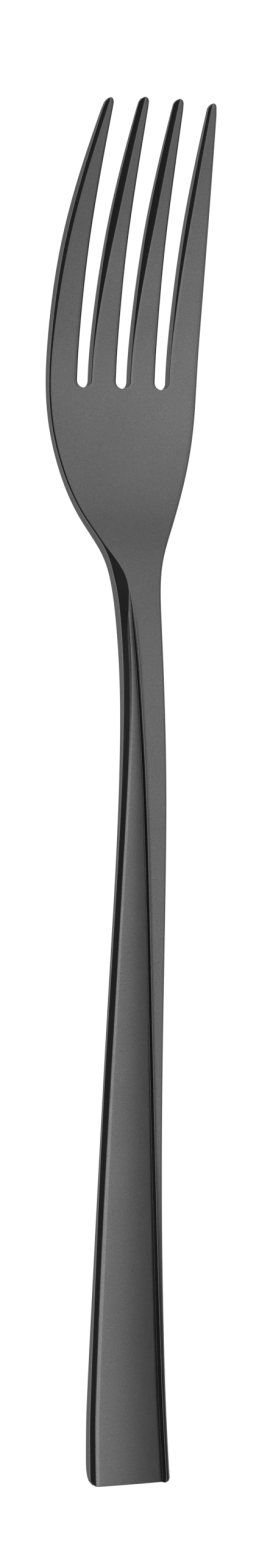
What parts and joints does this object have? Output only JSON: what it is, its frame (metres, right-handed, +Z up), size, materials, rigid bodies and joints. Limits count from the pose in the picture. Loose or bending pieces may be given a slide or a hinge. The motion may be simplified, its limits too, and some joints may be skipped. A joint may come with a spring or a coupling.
{
  "type": "dinner fork",
  "caption": "Dark steel dinner fork with slim tapering tines, a shallow dished head, a narrow arched neck and a long flaring handle faceted by a low slanting step.",
  "frame": {"origin": "on the table under the fork, midway along its length and midway across it", "axes": "+X to the right across the fork as seen from above with the tines pointing away, +Y along the fork towards the tips of the tines, +Z up from the table"},
  "size_m": [0.0244, 0.21, 0.0185],
  "materials": {
    "dark_steel": "dark grey satin coating on stainless steel"
  },
  "bodies": {
    "root": {"tine_outer_left": "dark_steel", "tine_inner_left": "dark_steel", "tine_inner_right": "dark_steel", "tine_outer_right": "dark_steel", "palm": "dark_steel", "neck": "dark_steel", "handle": "dark_steel"}
  },
  "joints": []
}
